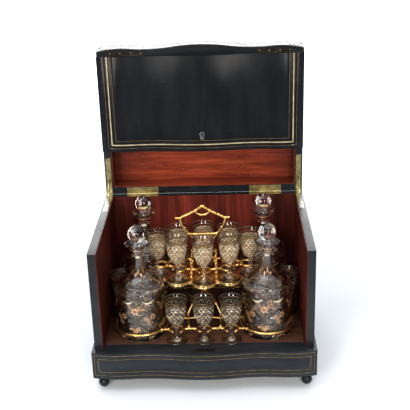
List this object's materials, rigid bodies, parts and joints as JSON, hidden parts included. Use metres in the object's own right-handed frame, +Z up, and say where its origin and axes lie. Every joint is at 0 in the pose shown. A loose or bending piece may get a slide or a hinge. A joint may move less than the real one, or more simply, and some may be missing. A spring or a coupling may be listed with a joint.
{
  "type": "tantalus",
  "caption": "Serpentine-fronted liqueur chest with a hinged lid and hanging front flap, holding a two-tier gilt carrier of glass decanters and cordial glasses.",
  "frame": {"origin": "middle of the footprint, on the surface that the bun feet stand on", "axes": "+X to the right seen from the front, +Y from the front to the back, +Z up"},
  "size_m": [0.338, 0.2963, 0.475],
  "materials": {
    "ebonised_wood": "french polished",
    "mahogany": "varnished",
    "aged_brass": "aged, brushed",
    "gilt_brass": "gilt, worn",
    "stringing_brass": "flush, polished",
    "clear_glass": "cut and gilt",
    "lock_steel": "filed"
  },
  "bodies": {
    "case": {"bun_feet": "ebonised_wood", "plinth_stringing": "stringing_brass", "strike_plate": "aged_brass", "plinth": "ebonised_wood", "box_floor": "mahogany", "right_wall": "ebonised_wood", "left_wall": "ebonised_wood", "quadrant_box_plates": "aged_brass", "case_screws": "aged_brass", "back_wall": "ebonised_wood", "wall_linings": "mahogany", "rear_hinge_box_leaves": "aged_brass", "rear_hinge_pins": "aged_brass"},
    "lid": {"lid_frame": "ebonised_wood", "lid_top": "ebonised_wood", "lid_lining": "mahogany", "lid_stringing": "stringing_brass", "lid_screws": "aged_brass", "rear_hinge_lid_leaves": "aged_brass", "quadrant_lid_plates": "aged_brass", "quadrant_arms": "aged_brass", "flap_hinge_lid_leaves": "aged_brass"},
    "flap": {"front_flap": "ebonised_wood", "flap_lining": "mahogany", "flap_stringing": "stringing_brass", "escutcheon": "aged_brass", "flap_screws": "aged_brass", "lock_case": "aged_brass", "flap_hinge_flap_leaves": "aged_brass", "flap_hinge_pins": "aged_brass"},
    "bolt": {"lock_bolt": "lock_steel"},
    "carrier": {"carrier_board": "mahogany", "lower_lattice": "gilt_brass", "carrier_legs": "gilt_brass", "centre_boss": "gilt_brass", "upper_tray": "gilt_brass", "upper_lattice": "gilt_brass", "upper_posts": "gilt_brass", "handle_column": "gilt_brass", "carrier_handle": "gilt_brass", "lower_inner_glasses": "clear_glass"},
    "lower_front_glass_left": {"lower_front_glass_left": "clear_glass"},
    "lower_front_glass_middle": {"lower_front_glass_middle": "clear_glass"},
    "lower_front_glass_right": {"lower_front_glass_right": "clear_glass"},
    "upper_glass_front_middle": {"upper_glass_front_middle": "clear_glass"},
    "upper_glass_front_left": {"upper_glass_front_left": "clear_glass"},
    "upper_glass_front_right": {"upper_glass_front_right": "clear_glass"},
    "upper_glass_side_left": {"upper_glass_side_left": "clear_glass"},
    "upper_glass_side_right": {"upper_glass_side_right": "clear_glass"},
    "upper_glass_back_left": {"upper_glass_back_left": "clear_glass"},
    "upper_glass_back_right": {"upper_glass_back_right": "clear_glass"},
    "upper_glass_back_middle": {"upper_glass_back_middle": "clear_glass"},
    "decanter_front_left": {"decanter_front_left": "clear_glass"},
    "stopper_front_left": {"stopper_front_left": "clear_glass"},
    "decanter_back_left": {"decanter_back_left": "clear_glass"},
    "stopper_back_left": {"stopper_back_left": "clear_glass"},
    "decanter_front_right": {"decanter_front_right": "clear_glass"},
    "stopper_front_right": {"stopper_front_right": "clear_glass"},
    "decanter_back_right": {"decanter_back_right": "clear_glass"},
    "stopper_back_right": {"stopper_back_right": "clear_glass"}
  },
  "joints": [
    {"name": "lid_hinge", "type": "hinge", "parent": "case", "child": "lid", "pos_m": [0, 0.10785, 0.224], "axis": [-1, 0, 0], "range_deg": [-68, 0]},
    {"name": "flap_hinge", "type": "hinge", "parent": "lid", "child": "flap", "pos_m": [0, 0.10785, 0.46], "axis": [1, 0, 0], "range_deg": [-90, 0]},
    {"name": "bolt_throw", "type": "slide", "parent": "flap", "child": "bolt", "axis": [0, 0, -1], "range_m": [0, 0.004]},
    {"name": "carrier_lift", "type": "slide", "parent": "case", "child": "carrier", "axis": [0, 0, 1], "range_m": [0, 0.17]},
    {"name": "lower_front_glass_left_slide", "type": "slide", "parent": "carrier", "child": "lower_front_glass_left", "axis": [0, -1, 0], "range_m": [0, 0.045]},
    {"name": "lower_front_glass_middle_slide", "type": "slide", "parent": "carrier", "child": "lower_front_glass_middle", "axis": [0, -1, 0], "range_m": [0, 0.045]},
    {"name": "lower_front_glass_right_slide", "type": "slide", "parent": "carrier", "child": "lower_front_glass_right", "axis": [0, -1, 0], "range_m": [0, 0.045]},
    {"name": "upper_glass_front_middle_slide", "type": "slide", "parent": "carrier", "child": "upper_glass_front_middle", "axis": [0, -1, 0], "range_m": [0, 0.024]},
    {"name": "upper_glass_front_left_slide", "type": "slide", "parent": "carrier", "child": "upper_glass_front_left", "axis": [-0.5736, -0.8192, 0], "range_m": [0, 0.012]},
    {"name": "upper_glass_front_right_slide", "type": "slide", "parent": "carrier", "child": "upper_glass_front_right", "axis": [0.5736, -0.8192, 0], "range_m": [0, 0.012]},
    {"name": "upper_glass_side_left_slide", "type": "slide", "parent": "carrier", "child": "upper_glass_side_left", "axis": [-1, 0, 0], "range_m": [0, 0.022]},
    {"name": "upper_glass_side_right_slide", "type": "slide", "parent": "carrier", "child": "upper_glass_side_right", "axis": [1, 0, 0], "range_m": [0, 0.022]},
    {"name": "upper_glass_back_left_slide", "type": "slide", "parent": "carrier", "child": "upper_glass_back_left", "axis": [-0.5736, 0.8192, 0], "range_m": [0, 0.012]},
    {"name": "upper_glass_back_right_slide", "type": "slide", "parent": "carrier", "child": "upper_glass_back_right", "axis": [0.5736, 0.8192, 0], "range_m": [0, 0.012]},
    {"name": "upper_glass_back_middle_slide", "type": "slide", "parent": "carrier", "child": "upper_glass_back_middle", "axis": [0, 1, 0], "range_m": [0, 0.024]},
    {"name": "decanter_front_left_lift", "type": "slide", "parent": "carrier", "child": "decanter_front_left", "axis": [0, 0, 1], "range_m": [0, 0.06]},
    {"name": "stopper_front_left_lift", "type": "slide", "parent": "decanter_front_left", "child": "stopper_front_left", "axis": [0, 0, 1], "range_m": [0, 0.03]},
    {"name": "decanter_back_left_lift", "type": "slide", "parent": "carrier", "child": "decanter_back_left", "axis": [0, 0, 1], "range_m": [0, 0.06]},
    {"name": "stopper_back_left_lift", "type": "slide", "parent": "decanter_back_left", "child": "stopper_back_left", "axis": [0, 0, 1], "range_m": [0, 0.03]},
    {"name": "decanter_front_right_lift", "type": "slide", "parent": "carrier", "child": "decanter_front_right", "axis": [0, 0, 1], "range_m": [0, 0.06]},
    {"name": "stopper_front_right_lift", "type": "slide", "parent": "decanter_front_right", "child": "stopper_front_right", "axis": [0, 0, 1], "range_m": [0, 0.03]},
    {"name": "decanter_back_right_lift", "type": "slide", "parent": "carrier", "child": "decanter_back_right", "axis": [0, 0, 1], "range_m": [0, 0.06]},
    {"name": "stopper_back_right_lift", "type": "slide", "parent": "decanter_back_right", "child": "stopper_back_right", "axis": [0, 0, 1], "range_m": [0, 0.03]}
  ]
}
